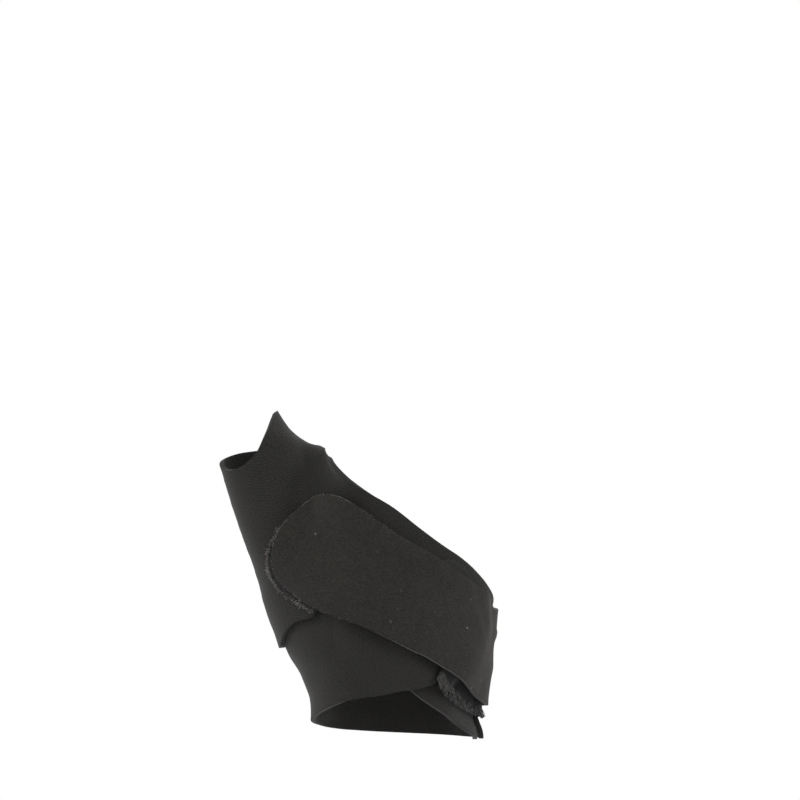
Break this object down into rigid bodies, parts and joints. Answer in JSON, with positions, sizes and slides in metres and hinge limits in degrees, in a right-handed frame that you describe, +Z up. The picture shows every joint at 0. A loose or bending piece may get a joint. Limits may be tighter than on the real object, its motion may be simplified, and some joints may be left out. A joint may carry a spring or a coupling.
{
  "type": "thumb sleeve",
  "caption": "Thin knit thumb sleeve in its worn form, with a wrist strap and a broad closing strap fastened over its front.",
  "frame": {"origin": "middle of the wrist passage, on the upright line of the wrist, where the sleeve sits when worn", "axes": "+Z up from the wrist towards the thumb opening, +X to the right in the front view, -Y towards the viewer of the front, where the straps close"},
  "size_m": [0.0759, 0.0578, 0.0899],
  "materials": {
    "sleeve_knit": "fine matt knit",
    "ribbed_knit": "fine slanting ribs",
    "brushed_cloth": "brushed matt cloth",
    "hook_tape": "matt tape with a frayed edge",
    "pile_tape": "short upright pile"
  },
  "bodies": {
    "root": {"thumb_sleeve": "sleeve_knit", "wrist_strap": "ribbed_knit", "wrist_strap_tab": "hook_tape", "closing_strap": "brushed_cloth", "closing_strap_tab": "hook_tape", "pile_strip": "pile_tape"}
  },
  "joints": []
}
